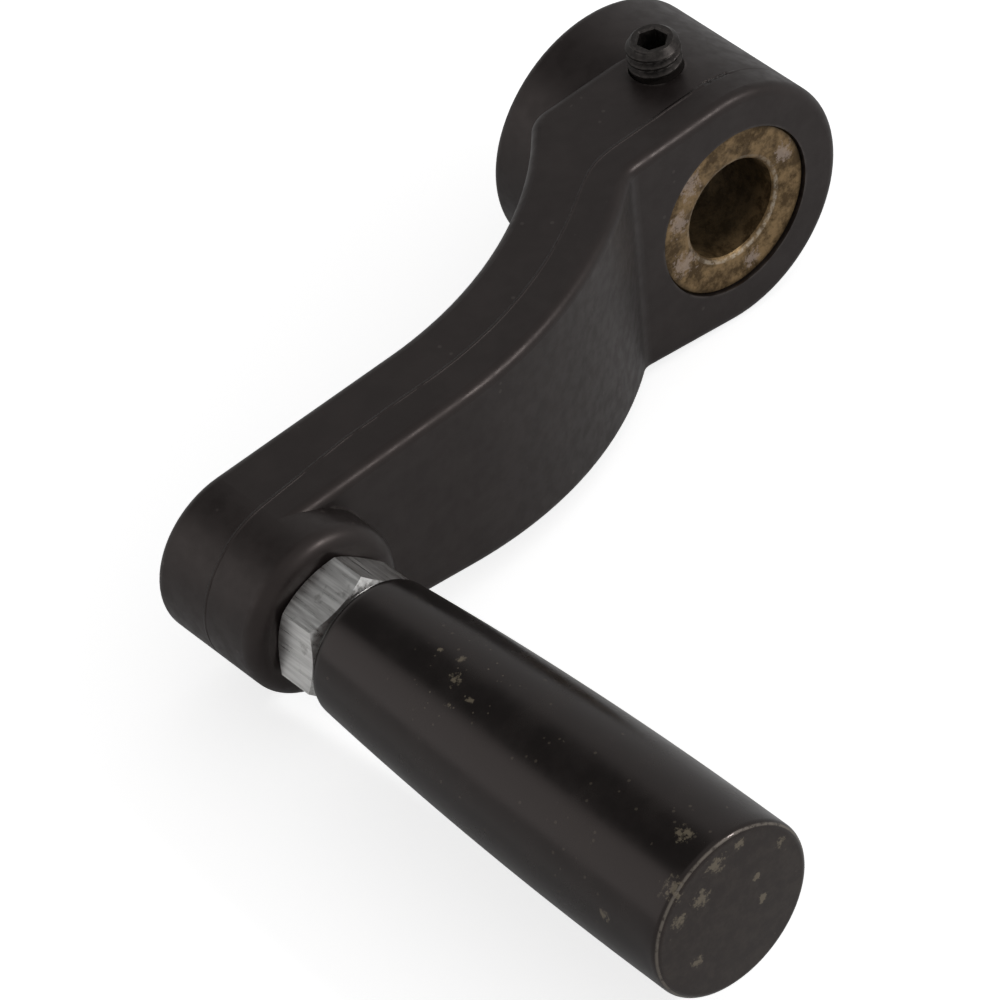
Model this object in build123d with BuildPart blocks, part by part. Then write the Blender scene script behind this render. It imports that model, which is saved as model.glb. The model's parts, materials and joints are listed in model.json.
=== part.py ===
from build123d import *
from math import acos, asin, cos, degrees, radians, sin, tan
import os

os.makedirs("parts", exist_ok=True)

# Crank handle with an offset arm and a turning grip, in millimetres.
# Origin: centre of the hub bore, halfway along the hub. Y runs along the bore, the arm
# reaches to -X, the grip points to -Y and the set screw stands up along Z.

# Arm casting
crank_radius = 76.2
hub_radius = 15.9
hub_wall = 5.1
hub_length = 24.0
boss_radius = 10.4
boss_height = 5.0
arm_offset = 13.35
arm_thickness = 11.9
plate_thickness = 15.4
bend_start = 52.0
bend_radius = 58.5
parting_depth = 5.2
crease_round = 3.0
shoulder_round = 4.0
edge_round = 1.3
boss_round = 2.0
hub_back_round = 1.2

# Bushing
bore_radius = 6.35
bushing_recess = 1.6
bushing_chamfer = 0.5
press_gap = 0.01

# Set screw
screw_radius = 3.175
screw_length = 12.7
screw_stand = 4.45
screw_from_front = 10.8
screw_chamfer = 0.5
screw_cup_depth = 0.8
screw_cup_rim = 0.7
socket_flats = 3.2
socket_depth = 3.6
thread_gap = 0.05

# Spindle
stud_radius = 4.76
stud_recess = 1.0
stud_chamfer = 0.8
collar_flats = 14.3
collar_length = 6.0
collar_turn = 22.5
collar_chamfer_angle = 30.0
collar_face_inset = 0.25
journal_radius = 4.75
journal_end_gap = 1.5
journal_chamfer = 0.8

# Grip
grip_length = 58.4
grip_near_radius = 8.4
grip_end_radius = 10.6
grip_taper_length = 34.0
grip_blend_radius = 310.0
grip_near_round = 1.6
grip_end_round = 1.5
grip_end_wall = 6.0
grip_float = 0.45
running_gap = 0.04
mouth_chamfer = 0.5

# Retaining ring
ring_thickness = 1.2
ring_width = 1.5
ring_seat_depth = 0.75
ring_seat_gap = 0.05
ring_from_end = 3.4
ring_side_gap = 0.35
ring_rim_gap = 0.35
ring_opening = 40.0

bushing_radius = hub_radius - hub_wall

# Faces along Y
front_y = -hub_length / 2
back_y = hub_length / 2
plate_back_y = front_y + plate_thickness
arm_front_y = front_y - arm_offset
arm_back_y = arm_front_y + arm_thickness
arm_parting_y = arm_front_y + parting_depth
hub_parting_y = front_y + parting_depth
boss_face_y = arm_front_y - boss_height
collar_face_y = boss_face_y - collar_length
grip_near_y = collar_face_y - grip_float
grip_end_y = grip_near_y - grip_length
bore_bottom_y = grip_end_y + grip_end_wall
journal_end_y = bore_bottom_y + journal_end_gap
ring_y = journal_end_y + ring_from_end
stud_end_y = arm_back_y - stud_recess
tapped_radius = stud_radius + thread_gap
grip_bore_radius = journal_radius + running_gap

# The bend: front and back of the arm share one centre.
bend_centre = (-bend_start, arm_front_y + bend_radius)
back_bend_radius = bend_radius - arm_thickness
front_bend_angle = degrees(acos((bend_centre[1] - front_y) / bend_radius))
back_bend_angle = degrees(acos((bend_centre[1] - plate_back_y) / back_bend_radius))
crease_x = bend_centre[0] + bend_radius * sin(radians(front_bend_angle))
shoulder_x = bend_centre[0] + back_bend_radius * sin(radians(back_bend_angle))

# The arm's top and bottom flats lean in from the hub to the boss.
side_slope = degrees(asin((hub_radius - boss_radius) / crank_radius))

grip_axis = Axis((-crank_radius, 0, 0), (0, 1, 0))
screw_dir = (-sin(radians(side_slope)), 0, cos(radians(side_slope)))
screw_x_dir = (cos(radians(side_slope)), 0, sin(radians(side_slope)))
screw_y = front_y + screw_from_front
screw_top = hub_radius + screw_stand
screw_tip = screw_top - screw_length


def across(y):
    """Sketch plane square to the bore at y, facing the grip's end."""
    return Plane.XZ.offset(-y)


def along_screw(distance):
    """Sketch plane square to the set screw, a distance out from the bore axis."""
    start = (screw_dir[0] * distance, screw_y, screw_dir[2] * distance)
    return Plane(origin=start, x_dir=screw_x_dir, z_dir=screw_dir)


# Arm: outline seen along the bore, cut to the bent side profile.
with BuildPart() as crank_arm:
    with BuildSketch(across(plate_back_y)) as outline:
        Circle(hub_radius)
        with Locations((-crank_radius, 0)):
            Circle(boss_radius)
        make_hull()
    extrude(amount=plate_back_y - arm_front_y)

    with BuildSketch(Plane.XY) as side_profile:
        with BuildLine():
            right_x = 2 * hub_radius
            left_x = -crank_radius - 2 * boss_radius
            front_bend = CenterArc(bend_centre, bend_radius, 270, front_bend_angle)
            back_bend = CenterArc(bend_centre, back_bend_radius, 270, back_bend_angle)
            Line(front_bend @ 1, (right_x, front_y))
            Line((right_x, front_y), (right_x, plate_back_y))
            Line((right_x, plate_back_y), back_bend @ 1)
            Line(back_bend @ 0, (left_x, arm_back_y))
            Line((left_x, arm_back_y), (left_x, arm_front_y))
            Line((left_x, arm_front_y), front_bend @ 0)
        make_face()
    extrude(amount=2 * hub_radius, both=True, mode=Mode.INTERSECT)

    upright = crank_arm.edges().filter_by(Axis.Z)
    crease = upright.filter_by_position(Axis.X, crease_x - 0.01, crease_x + 0.01)
    fillet(crease, crease_round)
    upright = crank_arm.edges().filter_by(Axis.Z)
    shoulder = upright.filter_by_position(Axis.X, shoulder_x - 0.01, shoulder_x + 0.01)
    fillet(shoulder, shoulder_round)

    front_faces = crank_arm.faces().filter_by(lambda face: face.normal_at().Y < -0.3)
    front_rim = front_faces.edges().filter_by(Axis.Z, reverse=True)
    fillet(front_rim, edge_round)
    back_faces = crank_arm.faces().filter_by(lambda face: face.normal_at().Y > 0.3)
    back_rim = back_faces.edges().filter_by(Axis.Z, reverse=True)
    fillet(back_rim, edge_round)

    # Round hub behind the plate, and round boss in front of the arm.
    with BuildSketch(across(back_y)) as hub_disc:
        Circle(hub_radius)
    extrude(amount=back_y - hub_parting_y)
    with BuildSketch(across(arm_parting_y)) as boss_disc:
        with Locations((-crank_radius, 0)):
            Circle(boss_radius)
    extrude(amount=arm_parting_y - boss_face_y)

    hub_back_edge = crank_arm.edges().filter_by(GeomType.CIRCLE).sort_by(Axis.Y)[-1]
    fillet(hub_back_edge, hub_back_round)
    boss_edge = crank_arm.edges().filter_by(GeomType.CIRCLE).sort_by(Axis.Y)[0]
    fillet(boss_edge, boss_round)

    with Locations(across(front_y)):
        Hole(bushing_radius + press_gap)
    with Locations(across(boss_face_y)):
        with Locations((-crank_radius, 0)):
            Hole(tapped_radius)
    with BuildSketch(along_screw(0)) as screw_hole:
        Circle(screw_radius + thread_gap)
    extrude(amount=2 * hub_radius, mode=Mode.SUBTRACT)
crank_arm.part.label = "crank_arm"
export_step(crank_arm.part, "parts/crank_arm.step")

# Bushing: sleeve pressed in between the hub's two faces.
with BuildPart() as hub_bushing:
    bushing_front_y = front_y + bushing_recess
    bushing_length = hub_length - 2 * bushing_recess
    with BuildSketch(across(bushing_front_y + bushing_length)) as sleeve:
        Circle(bushing_radius)
        Circle(bore_radius, mode=Mode.SUBTRACT)
    extrude(amount=bushing_length)
    inner_edges = hub_bushing.edges().filter_by(GeomType.CIRCLE).group_by(SortBy.RADIUS)[0]
    chamfer(inner_edges, bushing_chamfer)
    with BuildSketch(along_screw(0)) as sleeve_screw_hole:
        Circle(screw_radius + thread_gap)
    extrude(amount=2 * hub_radius, mode=Mode.SUBTRACT)
hub_bushing.part.label = "hub_bushing"
export_step(hub_bushing.part, "parts/hub_bushing.step")

# Set screw: cup point towards the bore, hexagon socket at the top.
with BuildPart() as set_screw:
    with BuildSketch(along_screw(screw_tip)) as screw_body:
        Circle(screw_radius)
    extrude(amount=screw_length)
    chamfer(set_screw.edges().filter_by(GeomType.CIRCLE), screw_chamfer)
    cup_mouth = screw_radius - screw_chamfer - screw_cup_rim
    with BuildSketch(along_screw(screw_tip)) as cup:
        Circle(cup_mouth)
    extrude(amount=screw_cup_depth, taper=45, mode=Mode.SUBTRACT)
    with BuildSketch(along_screw(screw_top)) as socket:
        RegularPolygon(socket_flats / 2, 6, major_radius=False)
    extrude(amount=-socket_depth, mode=Mode.SUBTRACT)
set_screw.part.label = "set_screw"
export_step(set_screw.part, "parts/set_screw.step")

# Spindle: hexagon collar, stud into the boss, journal into the grip.
with BuildPart() as grip_spindle:
    with BuildSketch(across(boss_face_y)) as collar:
        with Locations((-crank_radius, 0)):
            RegularPolygon(collar_flats / 2, 6, major_radius=False, rotation=collar_turn)
    extrude(amount=collar_length)
    with BuildSketch(Plane.XY) as collar_turning:
        collar_face_radius = collar_flats / 2 - collar_face_inset
        collar_mid_y = boss_face_y - collar_length / 2
        collar_slope = tan(radians(collar_chamfer_angle))
        collar_reach = collar_face_radius + collar_length / 2 / collar_slope
        with BuildLine():
            Polyline(
                (-crank_radius, boss_face_y),
                (-crank_radius + collar_face_radius, boss_face_y),
                (-crank_radius + collar_reach, collar_mid_y),
                (-crank_radius + collar_face_radius, collar_face_y),
                (-crank_radius, collar_face_y),
                close=True,
            )
        make_face()
    revolve(axis=grip_axis, mode=Mode.INTERSECT)

    with BuildSketch(across(stud_end_y)) as stud:
        with Locations((-crank_radius, 0)):
            Circle(stud_radius)
    extrude(amount=stud_end_y - boss_face_y)
    stud_edge = grip_spindle.edges().filter_by(GeomType.CIRCLE).sort_by(Axis.Y)[-1]
    chamfer(stud_edge, stud_chamfer)

    with BuildSketch(across(collar_face_y)) as journal:
        with Locations((-crank_radius, 0)):
            Circle(journal_radius)
    extrude(amount=collar_face_y - journal_end_y)
    journal_edge = grip_spindle.edges().filter_by(GeomType.CIRCLE).sort_by(Axis.Y)[0]
    chamfer(journal_edge, journal_chamfer)

    seat_width = ring_thickness + 2 * ring_seat_gap
    with BuildSketch(across(ring_y + seat_width / 2)) as ring_seat:
        with Locations((-crank_radius, 0)):
            Circle(2 * journal_radius)
            Circle(journal_radius - ring_seat_depth, mode=Mode.SUBTRACT)
    extrude(amount=seat_width, mode=Mode.SUBTRACT)
grip_spindle.part.label = "grip_spindle"
export_step(grip_spindle.part, "parts/grip_spindle.step")

# Retaining ring: split ring that sits in the journal and runs in the grip's groove.
ring_inner_radius = journal_radius - ring_seat_depth + ring_seat_gap
ring_outer_radius = ring_inner_radius + ring_width
with BuildPart() as retaining_ring:
    with BuildSketch(Plane.XY) as ring_section:
        with Locations((-crank_radius + (ring_inner_radius + ring_outer_radius) / 2, ring_y)):
            Rectangle(ring_width, ring_thickness)
    revolve(axis=grip_axis, revolution_arc=360 - ring_opening)
retaining_ring.part.label = "retaining_ring"
export_step(retaining_ring.part, "parts/retaining_ring.step")

# Grip: tapered, closed at the outer end, bored blind for the journal.
with BuildPart() as grip:
    with BuildSketch(Plane.XY) as grip_profile:
        taper_end_y = grip_near_y - grip_taper_length
        with BuildLine():
            near_line = Line((-crank_radius, grip_near_y), (-crank_radius + grip_near_radius, grip_near_y))
            taper_line = Line(near_line @ 1, (-crank_radius + grip_end_radius, taper_end_y))
            end_line = Line(taper_line @ 1, (-crank_radius + grip_end_radius, grip_end_y))
            Polyline(end_line @ 1, (-crank_radius, grip_end_y), near_line @ 0)
        make_face()
        fillet(grip_profile.vertices().group_by(Axis.X)[-1].sort_by(Axis.Y)[-1], grip_blend_radius)
    revolve(axis=grip_axis)
    rim_edges = grip.edges().filter_by(GeomType.CIRCLE).sort_by(Axis.Y)
    fillet(rim_edges[-1], grip_near_round)
    rim_edges = grip.edges().filter_by(GeomType.CIRCLE).sort_by(Axis.Y)
    fillet(rim_edges[0], grip_end_round)

    with BuildSketch(across(grip_near_y)) as journal_bore:
        with Locations((-crank_radius, 0)):
            Circle(grip_bore_radius)
    extrude(amount=grip_near_y - bore_bottom_y, mode=Mode.SUBTRACT)
    near_edges = grip.edges().filter_by(GeomType.CIRCLE).group_by(Axis.Y)[-1]
    mouth_edge = near_edges.sort_by(SortBy.RADIUS)[0]
    chamfer(mouth_edge, mouth_chamfer)

    groove_width = ring_thickness + 2 * ring_side_gap
    with BuildSketch(across(ring_y + groove_width / 2)) as ring_groove:
        with Locations((-crank_radius, 0)):
            Circle(ring_outer_radius + ring_rim_gap)
    extrude(amount=groove_width, mode=Mode.SUBTRACT)
grip.part.label = "grip"
export_step(grip.part, "parts/grip.step")
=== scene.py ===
import json
import math

import bmesh
import bpy
from mathutils import Matrix, Vector


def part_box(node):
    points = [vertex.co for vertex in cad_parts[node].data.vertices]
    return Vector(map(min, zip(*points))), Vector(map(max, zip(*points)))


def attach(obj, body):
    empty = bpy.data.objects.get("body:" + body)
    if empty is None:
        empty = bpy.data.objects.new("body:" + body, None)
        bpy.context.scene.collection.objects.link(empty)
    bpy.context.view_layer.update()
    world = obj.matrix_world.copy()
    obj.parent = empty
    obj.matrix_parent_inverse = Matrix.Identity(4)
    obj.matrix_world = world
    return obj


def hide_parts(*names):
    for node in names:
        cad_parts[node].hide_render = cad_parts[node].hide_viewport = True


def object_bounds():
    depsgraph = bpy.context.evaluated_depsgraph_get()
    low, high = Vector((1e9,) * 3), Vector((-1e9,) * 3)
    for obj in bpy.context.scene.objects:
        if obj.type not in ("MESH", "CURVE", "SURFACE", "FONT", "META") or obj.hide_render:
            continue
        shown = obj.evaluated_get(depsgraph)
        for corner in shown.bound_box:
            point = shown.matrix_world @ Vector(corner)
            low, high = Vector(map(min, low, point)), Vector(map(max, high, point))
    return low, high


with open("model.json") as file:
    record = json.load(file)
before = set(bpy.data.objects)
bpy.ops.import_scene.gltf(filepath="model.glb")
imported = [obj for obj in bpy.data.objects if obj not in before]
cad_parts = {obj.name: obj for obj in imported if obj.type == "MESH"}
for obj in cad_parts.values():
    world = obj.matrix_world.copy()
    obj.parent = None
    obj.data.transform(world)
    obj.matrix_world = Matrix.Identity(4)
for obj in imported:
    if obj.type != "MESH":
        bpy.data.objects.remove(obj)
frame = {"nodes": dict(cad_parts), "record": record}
cadLow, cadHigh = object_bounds()
mm = 0.001

# Places and sizes read from the frame, in metres. The hub's bore is at the origin, along Y.
joint = frame["record"]["behaviour"]["joints"][0]
gripAxisX = joint["pos_m"][0]
armLow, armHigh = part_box("crank_arm")
gripLow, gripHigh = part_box("grip")
screwLow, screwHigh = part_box("set_screw")
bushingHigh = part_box("hub_bushing")[1]
hubRadius = armHigh.x
bossRadius = gripAxisX - armLow.x
screwY = (screwLow.y + screwHigh.y) / 2
# The hub is centred on the origin, and its back is the arm's furthest point along Y.
hubFrontY = -armHigh.y
sideLean = math.asin((hubRadius - bossRadius) / -gripAxisX)

warmTint = (1.0, 0.86, 0.82, 1.0)


# Camera: long lens, above and to the grip's side.
cameraView = {
    "place": (-0.42225, -0.51592, 0.54247),
    "turn": (48.169, 4.214, -41.269),
    "lens": 270,
    "shift": (-0.0164, 0.0148),
}
cameraData = bpy.data.cameras.new("camera")
cameraData.lens = cameraView["lens"]
cameraData.shift_x, cameraData.shift_y = cameraView["shift"]
cameraData.clip_start = 0.05
cameraData.clip_end = 20
camera = bpy.data.objects.new("camera", cameraData)
camera.location = cameraView["place"]
camera.rotation_euler = [math.radians(angle) for angle in cameraView["turn"]]
bpy.context.collection.objects.link(camera)
bpy.context.scene.camera = camera


def startMaterial(name, metallic=0.0, tint=(1.0, 1.0, 1.0, 1.0)):
    material = bpy.data.materials.new(name)
    material.use_nodes = True
    shader = material.node_tree.nodes["Principled BSDF"]
    shader.inputs["Metallic"].default_value = metallic
    shader.inputs["Specular Tint"].default_value = tint
    return material, shader


class Nodes:
    # Short ways to add nodes to a material's or a group's tree.
    def __init__(self, tree):
        self.tree = tree

    def add(self, kind, **settings):
        node = self.tree.nodes.new(kind)
        for key, value in settings.items():
            setattr(node, key, value)
        return node

    def feed(self, socket, value):
        if isinstance(value, bpy.types.NodeSocket):
            self.tree.links.new(value, socket)
        elif value is not None:
            socket.default_value = value

    def math(self, operation, first, second=None, third=None, clamp=False):
        node = self.add("ShaderNodeMath", operation=operation, use_clamp=clamp)
        for socket, value in zip(node.inputs, (first, second, third)):
            self.feed(socket, value)
        return node.outputs[0]

    def vector(self, operation, first, second=None):
        node = self.add("ShaderNodeVectorMath", operation=operation)
        self.feed(node.inputs[0], first)
        self.feed(node.inputs[1], second)
        isNumber = operation in ("LENGTH", "DISTANCE", "DOT_PRODUCT")
        return node.outputs["Value" if isNumber else "Vector"]

    def ramp(self, value, start, end, low=0.0, high=1.0, smooth=True):
        node = self.add("ShaderNodeMapRange", interpolation_type="SMOOTHSTEP" if smooth else "LINEAR")
        names = ("Value", "From Min", "From Max", "To Min", "To Max")
        for name, item in zip(names, (value, start, end, low, high)):
            self.feed(node.inputs[name], item)
        return node.outputs["Result"]

    def mix(self, factor, first, second):
        node = self.add("ShaderNodeMix", data_type="RGBA")
        self.feed(node.inputs["Factor"], factor)
        self.feed(node.inputs[6], first)
        self.feed(node.inputs[7], second)
        return node.outputs[2]

    def noise(self, vector, scale, detail=3.0, roughness=0.55):
        node = self.add("ShaderNodeTexNoise")
        self.feed(node.inputs["Vector"], vector)
        node.inputs["Scale"].default_value = scale
        node.inputs["Detail"].default_value = detail
        node.inputs["Roughness"].default_value = roughness
        return node.outputs["Fac"]

    def place(self):
        return self.add("ShaderNodeTexCoord").outputs["Object"]

    def mapping(self, vector, location=(0, 0, 0), scale=(1, 1, 1)):
        node = self.add("ShaderNodeMapping")
        self.feed(node.inputs["Vector"], vector)
        node.inputs["Location"].default_value = location
        node.inputs["Scale"].default_value = scale
        return node.outputs["Vector"]

    def bump(self, height, strength, distance, normal=None):
        node = self.add("ShaderNodeBump")
        node.inputs["Strength"].default_value = strength
        node.inputs["Distance"].default_value = distance
        self.feed(node.inputs["Height"], height)
        self.feed(node.inputs["Normal"], normal)
        return node.outputs["Normal"]


def rgb(red, green, blue):
    return (red, green, blue, 1.0)


def startGroup(name, inputs, outputs):
    group = bpy.data.node_groups.new(name, "ShaderNodeTree")
    for label, kind, default in inputs:
        socket = group.interface.new_socket(name=label, in_out="INPUT", socket_type=kind)
        if default is not None:
            socket.default_value = default
    for label, kind in outputs:
        group.interface.new_socket(name=label, in_out="OUTPUT", socket_type=kind)
    nodes = Nodes(group)
    return group, nodes, nodes.add("NodeGroupInput").outputs, nodes.add("NodeGroupOutput").inputs


# Edge wear: how far a rounded-off normal leaves the true one, broken up by noise.
def makeEdgeWear():
    group, nodes, given, out = startGroup(
        "edgeWear",
        [
            ("Place", "NodeSocketVector", None),
            ("Radius", "NodeSocketFloat", 0.6 * mm),
            ("Breakup", "NodeSocketFloat", 400.0),
        ],
        [("Mask", "NodeSocketFloat")],
    )
    bevel = nodes.add("ShaderNodeBevel", samples=6)
    nodes.feed(bevel.inputs["Radius"], given["Radius"])
    geometry = nodes.add("ShaderNodeNewGeometry")
    match = nodes.vector("DOT_PRODUCT", bevel.outputs["Normal"], geometry.outputs["Normal"])
    edge = nodes.ramp(match, 0.985, 0.86)
    noise = nodes.add("ShaderNodeTexNoise")
    nodes.feed(noise.inputs["Vector"], given["Place"])
    nodes.feed(noise.inputs["Scale"], given["Breakup"])
    noise.inputs["Detail"].default_value = 4.0
    patch = nodes.ramp(noise.outputs["Fac"], 0.40, 0.62)
    nodes.feed(out["Mask"], nodes.math("MULTIPLY", edge, patch, clamp=True))
    return group


# Dust: fine pale specks that gather where a slow noise is high.
def makeDust():
    group, nodes, given, out = startGroup(
        "dust",
        [
            ("Place", "NodeSocketVector", None),
            ("Size", "NodeSocketFloat", 900.0),
            ("Cover", "NodeSocketFloat", 0.5),
        ],
        [("Mask", "NodeSocketFloat")],
    )
    cells = nodes.add("ShaderNodeTexVoronoi")
    nodes.feed(cells.inputs["Vector"], given["Place"])
    nodes.feed(cells.inputs["Scale"], given["Size"])
    speck = nodes.ramp(cells.outputs["Distance"], 0.22, 0.12)
    slow = nodes.noise(given["Place"], 160.0, 2.0)
    limit = nodes.math("SUBTRACT", 1.0, given["Cover"])
    gather = nodes.math("GREATER_THAN", slow, limit)
    shade = nodes.vector("DOT_PRODUCT", cells.outputs["Color"], (0.34, 0.33, 0.33))
    pick = nodes.math("GREATER_THAN", shade, 0.62)
    nodes.feed(out["Mask"], nodes.math("MULTIPLY", speck, nodes.math("MULTIPLY", gather, pick)))
    return group


# Scuff: one patch with a ragged border, by its centre and size.
def makeScuff():
    group, nodes, given, out = startGroup(
        "scuff",
        [
            ("Place", "NodeSocketVector", None),
            ("Centre", "NodeSocketVector", None),
            ("Size", "NodeSocketFloat", mm),
        ],
        [("Mask", "NodeSocketFloat")],
    )
    distance = nodes.vector("DISTANCE", given["Place"], given["Centre"])
    ragged = nodes.noise(given["Place"], 1600.0, 4.0, 0.7)
    reach = nodes.math("DIVIDE", distance, given["Size"])
    edge = nodes.math("MULTIPLY_ADD", ragged, -3.4, nodes.math("ADD", reach, 1.7))
    nodes.feed(out["Mask"], nodes.ramp(edge, 0.80, 0.25))
    return group


edgeWear = makeEdgeWear()
dust = makeDust()
scuff = makeScuff()


def useGroup(nodes, group, **values):
    node = nodes.add("ShaderNodeGroup", node_tree=group)
    for label, value in values.items():
        nodes.feed(node.inputs[label], value)
    return node.outputs[0]


def scuffs(nodes, place, spots):
    # One mask of several patches, each a centre and a size in millimetres.
    mask = None
    for centre, size in spots:
        one = useGroup(nodes, scuff, Place=place, Centre=[c * mm for c in centre], Size=size * mm)
        mask = one if mask is None else nodes.math("MAXIMUM", mask, one)
    return mask


# Black casting: satin cast skin with the mould's parting line round its sides.
casting = {
    "bendCentre": (-52.0 * mm, 33.1 * mm),
    "bendRadius": 53.3 * mm,
    "hubLineY": -7.65 * mm,
    "lineWidth": 0.28 * mm,
    "endShift": -1.8 * mm,
    "runIn": 5.0 * mm,
    "nick": (-0.6 * mm, 4.2 * mm),
    "dark": rgb(0.0082, 0.0062, 0.0058),
    "light": rgb(0.0125, 0.0098, 0.0092),
    "worn": rgb(0.075, 0.066, 0.060),
    "torn": rgb(0.001, 0.001, 0.001),
}


def partingLine(nodes, place):
    # Distance from the line along Y, where the line is shown, and where it is torn.
    axes = nodes.add("ShaderNodeSeparateXYZ")
    nodes.feed(axes.inputs[0], place)
    x, y = axes.outputs[0], axes.outputs[1]
    centreX, centreY = casting["bendCentre"]
    radius = casting["bendRadius"]
    fromCentre = nodes.math("MAXIMUM", nodes.math("SUBTRACT", x, centreX), 0.0)
    along = nodes.math("MINIMUM", fromCentre, radius * 0.97)
    drop = nodes.math("SQRT", nodes.math("SUBTRACT", radius ** 2, nodes.math("MULTIPLY", along, along)))
    arcY = nodes.math("SUBTRACT", centreY, drop)
    bendY = nodes.math("SMOOTH_MIN", arcY, casting["hubLineY"], casting["runIn"])
    atEnd = nodes.ramp(x, gripAxisX + 12 * mm, gripAxisX - 9 * mm, 0.0, casting["endShift"], smooth=False)
    away = nodes.math("SUBTRACT", y, nodes.math("ADD", bendY, atEnd))
    shown = nodes.ramp(x, 6.0 * mm, 3.0 * mm)
    nickStart, nickEnd = casting["nick"]
    opens = nodes.ramp(x, nickStart, nickStart + 1.2 * mm)
    closes = nodes.ramp(x, nickEnd, nickEnd - 1.0 * mm)
    nick = nodes.math("MULTIPLY", opens, closes)
    return away, shown, nick


def makeCasting():
    material, shader = startMaterial("black_casting", tint=warmTint)
    nodes = Nodes(material.node_tree)
    place = nodes.place()
    away, shown, nick = partingLine(nodes, place)
    wobble = nodes.math("MULTIPLY_ADD", nodes.noise(place, 200.0), 0.16 * mm, -0.08 * mm)
    away = nodes.math("ADD", away, wobble)
    ridge = nodes.ramp(nodes.math("ABSOLUTE", away), casting["lineWidth"], 0.05 * mm)
    broken = nodes.ramp(nodes.noise(place, 330.0), 0.34, 0.5, 0.45, 1.0)
    ridge = nodes.math("MULTIPLY", nodes.math("MULTIPLY", ridge, broken), shown)
    step = nodes.ramp(away, -0.15 * mm, 0.15 * mm, 0.0, 0.35)
    torn = nodes.math("MULTIPLY", nodes.ramp(nodes.math("ABSOLUTE", away), 0.42 * mm, 0.15 * mm), nick)
    torn = nodes.math("MULTIPLY", torn, nodes.ramp(nodes.noise(place, 700.0), 0.38, 0.52))
    grain = nodes.noise(place, 2600.0, 4.0, 0.6)
    waves = nodes.noise(place, 230.0, 2.0)
    pits = useGroup(nodes, dust, Place=place, Size=700.0, Cover=0.46)
    edgeMask = useGroup(nodes, edgeWear, Place=place, Radius=0.7 * mm, Breakup=520.0)
    tone = nodes.mix(nodes.ramp(waves, 0.35, 0.68), casting["dark"], casting["light"])
    # Paler edges: partly edge wear and partly a painted highlight along the rounded rims.
    tone = nodes.mix(nodes.math("MULTIPLY", edgeMask, 0.55), tone, casting["worn"])
    tone = nodes.mix(nodes.math("MULTIPLY", pits, 0.35), tone, casting["worn"])
    tone = nodes.mix(nodes.math("MULTIPLY", torn, 0.8), tone, casting["torn"])
    nodes.feed(shader.inputs["Base Color"], tone)
    rough = nodes.ramp(nodes.noise(place, 620.0, 4.0), 0.3, 0.7, 0.35, 0.47)
    nodes.feed(shader.inputs["Roughness"], nodes.math("SUBTRACT", rough, nodes.math("MULTIPLY", edgeMask, 0.06)))
    normal = nodes.bump(grain, 0.10, 0.05 * mm)
    normal = nodes.bump(waves, 0.15, 0.10 * mm, normal)
    normal = nodes.bump(pits, -0.20, 0.04 * mm, normal)
    height = nodes.math("ADD", ridge, step)
    normal = nodes.bump(nodes.math("MULTIPLY_ADD", torn, -2.8, height), 1.0, 0.13 * mm, normal)
    nodes.feed(shader.inputs["Normal"], normal)
    return material


# Bronze: tarnished, with paler scuffs round the mouth, which is worn on one side.
bronze = {
    "tarnished": rgb(0.095, 0.058, 0.024),
    "metal": rgb(0.300, 0.200, 0.098),
    "specks": rgb(0.050, 0.034, 0.014),
    "scuffed": rgb(0.50, 0.40, 0.34),
    "mouth": rgb(0.62, 0.54, 0.44),
    "rim": rgb(0.045, 0.032, 0.016),
    "paintedBoreShade": rgb(0.034, 0.025, 0.013),
    "wornTowards": (0.55, 0.0, -0.83),
    "scuffs": [
        ((-5.9, -11.55, 7.0), 2.3),
        ((-8.2, -11.55, 2.6), 2.0),
        ((-7.6, -11.55, -3.4), 2.2),
        ((7.9, -11.55, 3.6), 1.8),
        ((2.2, -11.55, -8.4), 1.6),
    ],
}


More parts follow.
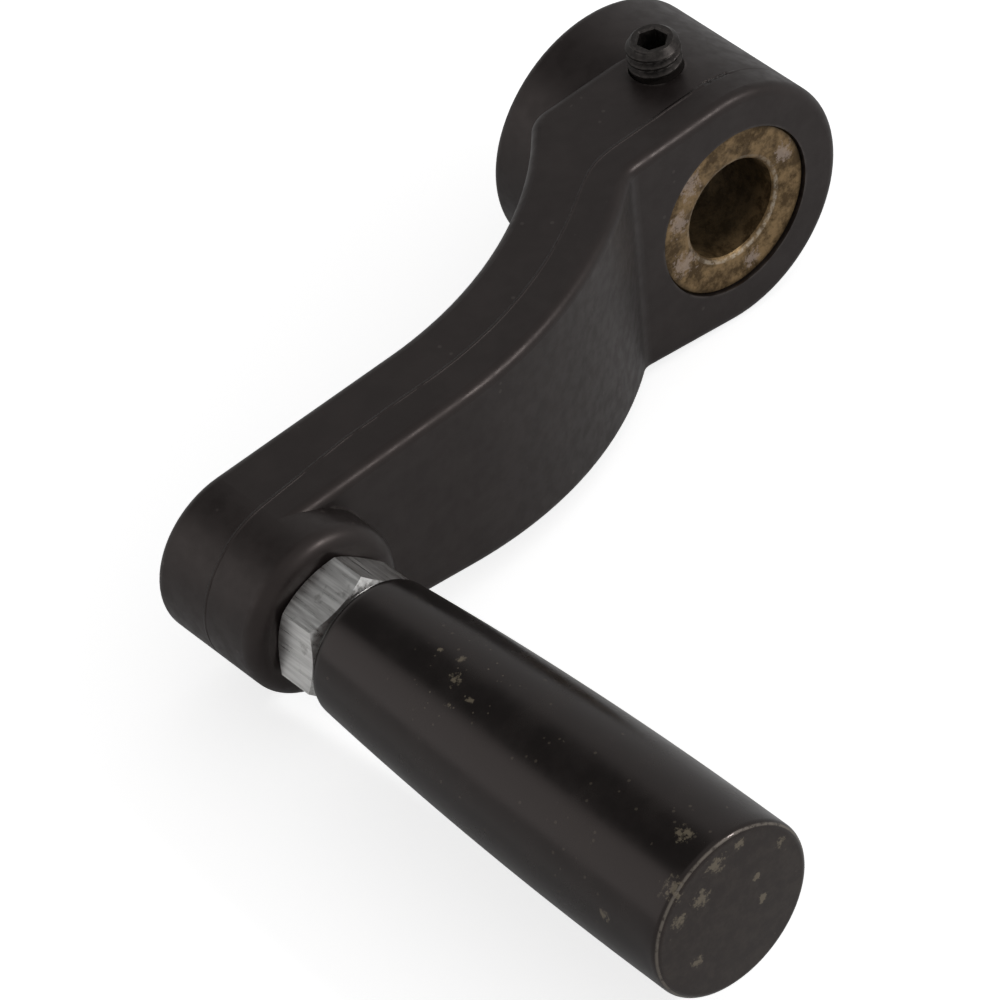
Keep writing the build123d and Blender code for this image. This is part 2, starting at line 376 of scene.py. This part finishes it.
def makeBronze():
    material, shader = startMaterial("bronze", metallic=0.75)
    nodes = Nodes(material.node_tree)
    place = nodes.place()
    axes = nodes.add("ShaderNodeSeparateXYZ")
    nodes.feed(axes.inputs[0], place)
    fromAxis = nodes.vector("LENGTH", nodes.vector("MULTIPLY", place, (1, 0, 1)))
    blotch = nodes.noise(place, 480.0, 5.0, 0.7)
    fine = nodes.noise(place, 1500.0, 5.0, 0.7)
    tone = nodes.mix(nodes.ramp(blotch, 0.36, 0.62), bronze["tarnished"], bronze["metal"])
    tone = nodes.mix(nodes.ramp(fine, 0.55, 0.72, 0.0, 0.55), tone, bronze["specks"])
    pale = scuffs(nodes, place, bronze["scuffs"])
    tone = nodes.mix(nodes.math("MULTIPLY", pale, 0.60), tone, bronze["scuffed"])
    fromMouth = nodes.math("ABSOLUTE", nodes.math("SUBTRACT", fromAxis, bushing["bore"] + 0.42 * mm))
    mouth = nodes.ramp(fromMouth, 0.32 * mm, 0.1 * mm)
    mouth = nodes.math("MULTIPLY", mouth, nodes.ramp(fine, 0.42, 0.55, 0.15, 1.0))
    wornSide = nodes.vector("DOT_PRODUCT", place, bronze["wornTowards"])
    mouth = nodes.math("MULTIPLY", mouth, nodes.ramp(wornSide, -3.0 * mm, 5.0 * mm, 0.4, 1.0))
    tone = nodes.mix(nodes.math("MULTIPLY", mouth, 0.55), tone, bronze["mouth"])
    rim = nodes.ramp(fromAxis, bushingHigh.x - 0.9 * mm, bushingHigh.x - 0.1 * mm)
    tone = nodes.mix(nodes.math("MULTIPLY", rim, 0.6), tone, bronze["rim"])
    # Painted shade: the bronze turns darker deeper inside the bore.
    paintedBoreShade = nodes.ramp(axes.outputs[1], hubFrontY + 1.3 * mm, hubFrontY + 4.0 * mm)
    tone = nodes.mix(nodes.math("MULTIPLY", paintedBoreShade, 0.62), tone, bronze["paintedBoreShade"])
    nodes.feed(shader.inputs["Base Color"], tone)
    nodes.feed(shader.inputs["Roughness"], nodes.ramp(fine, 0.3, 0.7, 0.42, 0.62))
    turned = nodes.noise(nodes.mapping(place, scale=(250, 5200, 250)), 1.0, 2.0)
    normal = nodes.bump(turned, 0.25, 0.03 * mm)
    normal = nodes.bump(fine, 0.45, 0.05 * mm, normal)
    normal = nodes.bump(blotch, 0.3, 0.15 * mm, normal)
    nodes.feed(shader.inputs["Normal"], normal)
    return material


# Bright steel: milled flats with fine streaks and a few dark stains.
brightSteel = {
    "dark": rgb(0.72, 0.71, 0.69),
    "light": rgb(0.92, 0.91, 0.89),
    "stain": rgb(0.27, 0.26, 0.24),
    "worn": rgb(0.85, 0.83, 0.79),
}


def makeBrightSteel():
    material, shader = startMaterial("bright_steel", metallic=1.0)
    nodes = Nodes(material.node_tree)
    place = nodes.place()
    streaks = nodes.noise(nodes.mapping(place, scale=(2300, 130, 2300)), 1.0, 4.0, 0.65)
    blotch = nodes.noise(place, 420.0, 4.0, 0.6)
    edgeMask = useGroup(nodes, edgeWear, Place=place, Radius=0.5 * mm, Breakup=700.0)
    tone = nodes.mix(nodes.ramp(streaks, 0.35, 0.65), brightSteel["dark"], brightSteel["light"])
    tone = nodes.mix(nodes.ramp(blotch, 0.58, 0.70, 0.0, 0.45), tone, brightSteel["stain"])
    tone = nodes.mix(nodes.math("MULTIPLY", edgeMask, 0.5), tone, brightSteel["worn"])
    nodes.feed(shader.inputs["Base Color"], tone)
    nodes.feed(shader.inputs["Roughness"], nodes.ramp(streaks, 0.3, 0.7, 0.26, 0.42))
    normal = nodes.bump(streaks, 0.35, 0.04 * mm)
    normal = nodes.bump(blotch, 0.2, 0.06 * mm, normal)
    nodes.feed(shader.inputs["Normal"], normal)
    return material


# Dark steels: lighter where they are rubbed, and darker and duller close to the hub, which is painted shade
# for the mouth of the screw's hole.
darkSteels = {
    "black_steel": {"base": rgb(0.034, 0.030, 0.028), "rubbed": rgb(0.20, 0.18, 0.16)},
    "spring_steel": {"base": rgb(0.10, 0.10, 0.105), "rubbed": rgb(0.4, 0.4, 0.4)},
}
paintedShadeColour = rgb(0.006, 0.0035, 0.0025)


def makeDarkSteel(name):
    base, rubbed = darkSteels[name]["base"], darkSteels[name]["rubbed"]
    lighter = [channel * 1.7 for channel in base[:3]] + [1.0]
    material, shader = startMaterial(name, metallic=0.85)
    nodes = Nodes(material.node_tree)
    place = nodes.place()
    grain = nodes.noise(place, 1800.0, 4.0, 0.6)
    edgeMask = useGroup(nodes, edgeWear, Place=place, Radius=0.25 * mm, Breakup=1400.0)
    tone = nodes.mix(nodes.ramp(grain, 0.35, 0.7), base, lighter)
    tone = nodes.mix(nodes.math("MULTIPLY", edgeMask, 0.6), tone, rubbed)
    fromBore = nodes.vector("LENGTH", nodes.vector("MULTIPLY", place, (1, 0, 1)))
    # Painted shade: darker and duller within about 1.5 mm of the hub's surface, where the screw enters its
    # hole.
    paintedShade = nodes.ramp(fromBore, hubRadius + 1.5 * mm, hubRadius + 0.5 * mm)
    tone = nodes.mix(nodes.math("MULTIPLY", paintedShade, 0.85), tone, paintedShadeColour)
    nodes.feed(shader.inputs["Base Color"], tone)
    rough = nodes.ramp(grain, 0.3, 0.7, 0.34, 0.50)
    nodes.feed(shader.inputs["Roughness"], nodes.math("MAXIMUM", rough, nodes.math("MULTIPLY", paintedShade, 0.8)))
    nodes.feed(shader.inputs["Normal"], nodes.bump(grain, 0.25, 0.03 * mm))
    return material


# Grip: black moulding, thicker towards its closed outer end, with a blind bore and a ring groove.
grip = {
    "nearY": gripHigh.y,
    "endY": gripHigh.y - 57.85 * mm,
    "endRadius": 10.55 * mm,
    "swell": 2.2 * mm,
    "swellLength": 52 * mm,
    "nearRound": 1.6 * mm,
    "endRound": 0.9 * mm,
    "boreRadius": 4.79 * mm,
    "boreEndY": gripLow.y + 6 * mm,
    "mouthChamfer": 0.5 * mm,
    "grooveGap": 0.35 * mm,
    "sideSteps": 40,
}
# Its surface: polished, with a pale outer rim that is partly wear and partly a painted highlight, pale
# specks and handling marks.
plastic = {
    "dark": rgb(0.0036, 0.0028, 0.0026),
    "light": rgb(0.0078, 0.0062, 0.0056),
    "endDark": rgb(0.0090, 0.0064, 0.0052),
    "endLight": rgb(0.0215, 0.0170, 0.0135),
    "specks": rgb(0.12, 0.10, 0.075),
    "marks": rgb(0.16, 0.135, 0.095),
    "rim": rgb(0.17, 0.15, 0.125),
    "rubbedAt": (-79.2 * mm, -56.5 * mm, 9.2 * mm),
}
gripMarks = {
    "end": [
        ((-78.0, -94.6, 8.0), 1.5),
        ((-80.1, -94.6, 4.8), 1.5),
        ((-74.4, -94.6, 8.6), 0.9),
        ((-69.2, -94.6, 5.1), 0.8),
        ((-72.1, -94.6, -0.7), 0.9),
        ((-72.6, -94.6, 2.5), 0.7),
        ((-83.2, -94.5, 3.8), 1.2),
        ((-81.4, -94.6, -3.4), 0.9),
    ],
    "side": [
        ((-78.6, -90.9, 10.3), 1.2),
        ((-83.3, -93.9, 7.8), 1.5),
        ((-86.7, -86.7, 1.5), 1.0),
        ((-79.2, -55.7, 9.1), 0.9),
        ((-77.0, -54.2, 9.5), 0.7),
        ((-80.1, -59.1, 9.0), 0.6),
        ((-81.6, -57.2, 8.1), 0.5),
        ((-77.4, -51.2, 9.2), 0.5),
    ],
}


def makeGripPlastic():
    material, shader = startMaterial("black_plastic", tint=warmTint)
    nodes = Nodes(material.node_tree)
    place = nodes.place()
    centred = nodes.mapping(place, location=(-gripAxisX, 0, 0))
    axes = nodes.add("ShaderNodeSeparateXYZ")
    nodes.feed(axes.inputs[0], centred)
    fromAxis = nodes.vector("LENGTH", nodes.vector("MULTIPLY", centred, (1, 0, 1)))
    endRadius = grip["endRadius"]
    nearEnd = nodes.ramp(axes.outputs[1], grip["endY"] + 1.1 * mm, grip["endY"] + 0.3 * mm)
    fromRim = nodes.math("ABSOLUTE", nodes.math("SUBTRACT", fromAxis, endRadius - 0.30 * mm))
    rimBand = nodes.ramp(fromRim, 0.18 * mm, 0.04 * mm)
    haze = nodes.noise(place, 190.0, 4.0, 0.6)
    fine = nodes.noise(place, 1300.0, 5.0, 0.7)
    # Pale band round the outer end's rim: partly wear and partly a painted highlight on the rounding.
    rimWearAndHighlight = nodes.math("MULTIPLY", rimBand, nearEnd)
    rimWearAndHighlight = nodes.math("MULTIPLY", rimWearAndHighlight, nodes.ramp(fine, 0.34, 0.52, 0.25, 1.0))
    specks = useGroup(nodes, dust, Place=place, Size=950.0, Cover=0.50)
    rubbed = nodes.ramp(nodes.vector("DISTANCE", place, plastic["rubbedAt"]), 9.0 * mm, 3.0 * mm)
    fineSpecks = nodes.math("MULTIPLY", useGroup(nodes, dust, Place=place, Size=1500.0, Cover=0.75), rubbed)
    specks = nodes.math("MAXIMUM", specks, nodes.math("MULTIPLY", fineSpecks, 2.2))
    tone = nodes.mix(nodes.ramp(haze, 0.35, 0.7), plastic["dark"], plastic["light"])
    onEnd = nodes.ramp(fromAxis, endRadius - 0.2 * mm, endRadius - 0.9 * mm)
    endFace = nodes.math("MULTIPLY", nearEnd, onEnd)
    coarse = nodes.noise(place, 520.0, 5.0, 0.7)
    mottle = nodes.math("MULTIPLY_ADD", coarse, 0.6, nodes.math("MULTIPLY", fine, 0.4))
    endTone = nodes.mix(nodes.ramp(mottle, 0.42, 0.62), plastic["endDark"], plastic["endLight"])
    tone = nodes.mix(endFace, tone, endTone)
    tone = nodes.mix(nodes.math("MULTIPLY", specks, 0.30), tone, plastic["specks"])
    marks = scuffs(nodes, place, gripMarks["end"] + gripMarks["side"])
    tone = nodes.mix(nodes.math("MULTIPLY", marks, 0.75), tone, plastic["marks"])
    tone = nodes.mix(nodes.math("MULTIPLY", rimWearAndHighlight, 0.75), tone, plastic["rim"])
    nodes.feed(shader.inputs["Base Color"], tone)
    rough = nodes.ramp(haze, 0.3, 0.75, 0.20, 0.30)
    rough = nodes.math("MAXIMUM", rough, nodes.math("MULTIPLY", endFace, 0.42))
    rough = nodes.math("MAXIMUM", rough, nodes.math("MULTIPLY", rimWearAndHighlight, 0.5))
    nodes.feed(shader.inputs["Roughness"], rough)
    normal = nodes.bump(haze, 0.10, 0.10 * mm)
    normal = nodes.bump(fine, 0.06, 0.02 * mm, normal)
    nodes.feed(shader.inputs["Normal"], normal)
    return material


def makeObject(name, mesh, material):
    made = bpy.data.objects.new(name, mesh)
    bpy.context.collection.objects.link(made)
    mesh.materials.append(material)
    return made


def finishMesh(build, name, sharpAngle):
    # Joins doubled corners, turns the faces outwards and keeps edges over the angle sharp.
    bmesh.ops.remove_doubles(build, verts=build.verts, dist=0.001 * mm)
    bmesh.ops.recalc_face_normals(build, faces=build.faces)
    for face in build.faces:
        face.smooth = True
    for edge in build.edges:
        edge.smooth = edge.calc_face_angle(0) < math.radians(sharpAngle)
    mesh = bpy.data.meshes.new(name)
    build.to_mesh(mesh)
    build.free()
    return mesh


# Set screw: a helical thread, a chamfered top with a hexagon socket, and a cup at the tip.
screw = {
    "radius": (screwHigh.y - screwLow.y) / 2,
    "pitch": 1.27 * mm,
    "depth": 0.62 * mm,
    "topReach": hubRadius + 4.15 * mm,
    "length": 12.4 * mm,
    "socketFlats": 3.2 * mm,
    "socketDepth": 3.0 * mm,
    "segments": 72,
    "ringsPerPitch": 14,
    "startTurn": 0.35,
    "rootShare": 0.14,
    "flankShare": 0.62,
    "topChamfer": 0.75 * mm,
    "topSlope": 1.1,
    "tipChamfer": 0.9 * mm,
    "cupRadius": 0.45,
    "cupRim": 0.62,
    "cupDepth": 0.8 * mm,
    "leadWidth": 0.22 * mm,
    "leadDepth": 0.2 * mm,
    "turn": 38,
}


def threadRadius(height, turn):
    # Radius of the thread at a height and a fraction of a turn.
    phase = (height / screw["pitch"] - turn + screw["startTurn"]) % 1.0
    ramp = abs(phase * 2 - 1)
    flank = min(max((ramp - screw["rootShare"]) / screw["flankShare"], 0.0), 1.0)
    thread = screw["radius"] - screw["depth"] * (1 - flank)
    fromTop = screw["length"] - height
    atTop = screw["radius"] - screw["topChamfer"] + screw["topSlope"] * fromTop
    atTip = screw["radius"] - screw["tipChamfer"] + height
    return min(thread, atTop, atTip)


def hexRadius(turn):
    # Radius of the socket's hexagon at a fraction of a turn.
    within = (turn * 360) % 60 - 30
    return screw["socketFlats"] / 2 / math.cos(math.radians(within))


def screwPlace(height):
    # A place on the set screw's axis, which leans with the hub's flat top.
    lean = Matrix.Rotation(-sideLean, 4, "Y")
    return Matrix.Translation((0, screwY, 0)) @ lean @ Matrix.Translation((0, 0, height))


def makeSetScrew(material):
    build = bmesh.new()
    count = screw["segments"]
    steps = round(screw["length"] / screw["pitch"] * screw["ringsPerPitch"])
    heights = [screw["length"] * index / steps for index in range(steps + 1)]
    turns = [index / count for index in range(count)]
    top = screw["length"]
    rings = [
        [(screw["radius"] * screw["cupRadius"], screw["cupDepth"])] * count,
        [(screw["radius"] * screw["cupRim"], 0.0)] * count,
    ]
    rings += [[(threadRadius(height, turn), height) for turn in turns] for height in heights]
    rings += [
        [(hexRadius(turn) + screw["leadWidth"], top) for turn in turns],
        [(hexRadius(turn), top - screw["leadDepth"]) for turn in turns],
        [(hexRadius(turn), top - screw["socketDepth"]) for turn in turns],
    ]
    loops = []
    for ring in rings:
        loop = []
        for index, (radius, height) in enumerate(ring):
            angle = 2 * math.pi * index / count
            loop.append(build.verts.new((radius * math.cos(angle), radius * math.sin(angle), height)))
        loops.append(loop)
    for lower, upper in zip(loops, loops[1:]):
        for index in range(count):
            after = (index + 1) % count
            build.faces.new((lower[index], lower[after], upper[after], upper[index]))
    build.faces.new(list(reversed(loops[0])))
    build.faces.new(loops[-1])
    place = screwPlace(screw["topReach"] - screw["length"])
    place = place @ Matrix.Rotation(math.radians(screw["turn"]), 4, "Z")
    bmesh.ops.transform(build, matrix=place, verts=build.verts)
    return makeObject("set_screw_threaded", finishMesh(build, "set_screw_threaded", 40), material)


def lathe(build, points, axisX, steps=128):
    # Turns an outline of (radius, y) points round an axis along Y. One that begins and ends
    # on the axis needs no edge between its ends.
    corners = [build.verts.new((axisX + radius, y, 0)) for radius, y in points]
    edges = [build.edges.new((a, b)) for a, b in zip(corners, corners[1:])]
    if points[0][0] > 0 or points[-1][0] > 0:
        edges.append(build.edges.new((corners[-1], corners[0])))
    bmesh.ops.spin(
        build,
        geom=corners + edges,
        cent=(axisX, 0, 0),
        axis=(0, 1, 0),
        angle=2 * math.pi,
        steps=steps,
        use_merge=True,
    )


def arcPoints(centre, radius, start, end, count=6):
    # Points (radius, y) on an arc, angles in degrees from the outward direction towards +Y.
    turns = [math.radians(start + (end - start) * index / count) for index in range(count + 1)]
    return [(centre[0] + radius * math.cos(turn), centre[1] + radius * math.sin(turn)) for turn in turns]


def gripRadius(fromNear):
    # Radius of the grip's side at a distance from its near end.
    left = max(1 - fromNear / grip["swellLength"], 0)
    return grip["endRadius"] - grip["swell"] * left ** 2


def makeGrip(material):
    ringLow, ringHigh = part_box("retaining_ring")
    grooveRadius = (ringHigh.x - ringLow.x) / 2 + grip["grooveGap"]
    nearY, endY, bore = grip["nearY"], grip["endY"], grip["boreRadius"]
    nearRound, endRound = grip["nearRound"], grip["endRound"]
    nearRadius = gripRadius(nearRound)
    points = [(0, endY)]
    points += arcPoints((grip["endRadius"] - endRound, endY + endRound), endRound, -90, 0)
    stretch = nearY - endY - nearRound - endRound
    for index in range(1, grip["sideSteps"]):
        y = endY + endRound + stretch * index / grip["sideSteps"]
        points.append((gripRadius(nearY - y), y))
    points += arcPoints((nearRadius - nearRound, nearY - nearRound), nearRound, 0, 90)
    points += [(bore + grip["mouthChamfer"], nearY), (bore, nearY - grip["mouthChamfer"])]
    for y, radius in (
        (ringHigh.y + grip["grooveGap"], bore),
        (ringHigh.y + grip["grooveGap"], grooveRadius),
        (ringLow.y - grip["grooveGap"], grooveRadius),
        (ringLow.y - grip["grooveGap"], bore),
        (grip["boreEndY"], bore),
    ):
        points.append((radius, y))
    points.append((0, grip["boreEndY"]))
    build = bmesh.new()
    lathe(build, points, gripAxisX)
    return makeObject("grip_moulding", finishMesh(build, "grip_moulding", 40), material)


# Bushing: turned sleeve with a double chamfer at its mouth and a hole for the set screw.
bushing = {
    "frontY": hubFrontY + 0.45 * mm,
    "backY": bushingHigh.y,
    "radius": bushingHigh.x,
    "bore": 6.35 * mm,
    "rimChamfer": 0.25 * mm,
    "mouthChamfer": 0.45 * mm,
    "mouthBreak": (0.6, 0.35),
    "mouthSpread": 1.7,
    "screwHole": 3.23 * mm,
}


def makeBushing(material):
    front, back = bushing["frontY"], bushing["backY"]
    radius, bore = bushing["radius"], bushing["bore"]
    rim, mouth = bushing["rimChamfer"], bushing["mouthChamfer"]
    breakOut, breakDeep = bushing["mouthBreak"]
    points = [
        (bore, front + mouth),
        (bore + mouth * breakOut, front + mouth * breakDeep),
        (bore + mouth * bushing["mouthSpread"], front),
        (radius - rim, front),
        (radius, front + rim),
        (radius, back - rim),
        (radius - rim, back),
        (bore + mouth, back),
        (bore, back - mouth),
    ]
    build = bmesh.new()
    lathe(build, points, 0.0)
    made = makeObject("bushing_sleeve", finishMesh(build, "bushing_sleeve", 30), material)
    drill = bmesh.new()
    hole = bushing["screwHole"]
    bmesh.ops.create_cone(drill, cap_ends=True, segments=48, radius1=hole, radius2=hole, depth=hubRadius)
    bmesh.ops.transform(drill, matrix=screwPlace(hubRadius / 2), verts=drill.verts)
    drillMesh = bpy.data.meshes.new("drill")
    drill.to_mesh(drillMesh)
    drill.free()
    drillObject = bpy.data.objects.new("drill", drillMesh)
    bpy.context.collection.objects.link(drillObject)
    cut = made.modifiers.new("screw hole", "BOOLEAN")
    cut.operation = "DIFFERENCE"
    cut.object = drillObject
    finished = made.evaluated_get(bpy.context.evaluated_depsgraph_get())
    cutMesh = bpy.data.meshes.new_from_object(finished)
    made.modifiers.clear()
    made.data = cutMesh
    bpy.data.objects.remove(drillObject)
    return made


materials = {
    "crank_arm": makeCasting(),
    "grip_spindle": makeBrightSteel(),
    "retaining_ring": makeDarkSteel("spring_steel"),
}
for nodeName, material in materials.items():
    mesh = frame["nodes"][nodeName].data
    mesh.materials.clear()
    mesh.materials.append(material)
setScrew = makeSetScrew(makeDarkSteel("black_steel"))
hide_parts("set_screw")
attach(setScrew, "crank")
sleeve = makeBushing(makeBronze())
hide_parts("hub_bushing")
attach(sleeve, "crank")
moulding = makeGrip(makeGripPlastic())
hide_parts("grip")
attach(moulding, "grip")
print("pieces made")


# Floor that glows a little to the camera, a pale world with one dark patch, and two soft lamps.
floor = {
    "size": 1.5,
    "colour": rgb(0.80, 0.80, 0.80),
    "roughness": 0.9,
    "glow": 0.66,
}
studio = {
    "seen": 1.0,
    "light": 0.50,
    "dark": 0.15,
    "darkTowards": (-0.12, 0.60, 0.79),
    "darkEdge": (0.84, 0.97),
}
lamps = {
    "front_softbox": {"place": (0.42, -0.66, 0.54), "size": 0.10, "power": 2.4},
    "left_softbox": {"place": (-0.8, 0.45, 0.25), "size": 0.9, "power": 1.0},
}


def makeFloor():
    build = bmesh.new()
    bmesh.ops.create_grid(build, x_segments=1, y_segments=1, size=floor["size"])
    bmesh.ops.translate(build, verts=build.verts, vec=(0, 0, cadLow.z))
    mesh = bpy.data.meshes.new("floor")
    build.to_mesh(mesh)
    build.free()
    material, shader = startMaterial("floor_white")
    shader.inputs["Base Color"].default_value = floor["colour"]
    shader.inputs["Roughness"].default_value = floor["roughness"]
    shader.inputs["Emission Color"].default_value = rgb(1.0, 1.0, 1.0)
    nodes = Nodes(material.node_tree)
    toCamera = nodes.add("ShaderNodeLightPath").outputs["Is Camera Ray"]
    nodes.feed(shader.inputs["Emission Strength"], nodes.math("MULTIPLY", toCamera, floor["glow"]))
    return makeObject("floor", mesh, material)


def makeWorld():
    world = bpy.data.worlds.new("studio")
    world.use_nodes = True
    bpy.context.scene.world = world
    nodes = Nodes(world.node_tree)
    background = world.node_tree.nodes["Background"]
    path = nodes.add("ShaderNodeLightPath")
    direction = nodes.add("ShaderNodeTexCoord").outputs["Generated"]
    towards = nodes.vector("DOT_PRODUCT", direction, studio["darkTowards"])
    edgeStart, edgeEnd = studio["darkEdge"]
    around = nodes.ramp(towards, edgeStart, edgeEnd, studio["light"], studio["dark"])
    strength = nodes.ramp(path.outputs["Is Camera Ray"], 0.0, 1.0, around, studio["seen"], smooth=False)
    nodes.feed(background.inputs["Strength"], strength)
    background.inputs["Color"].default_value = rgb(1.0, 1.0, 1.0)


def addLamp(name, place, aim, size, power):
    lamp = bpy.data.lights.new(name, "AREA")
    lamp.shape = "RECTANGLE"
    lamp.size = size
    lamp.size_y = size
    lamp.energy = power
    made = bpy.data.objects.new(name, lamp)
    made.location = place
    made.rotation_euler = (Vector(place) - Vector(aim)).to_track_quat("Z", "Y").to_euler()
    bpy.context.collection.objects.link(made)


middle = (cadLow + cadHigh) / 2
makeFloor()
makeWorld()
for lampName, settings in lamps.items():
    addLamp(lampName, settings["place"], middle, settings["size"], settings["power"])
print("lights placed")

bpy.context.scene.view_settings.view_transform = "Standard"
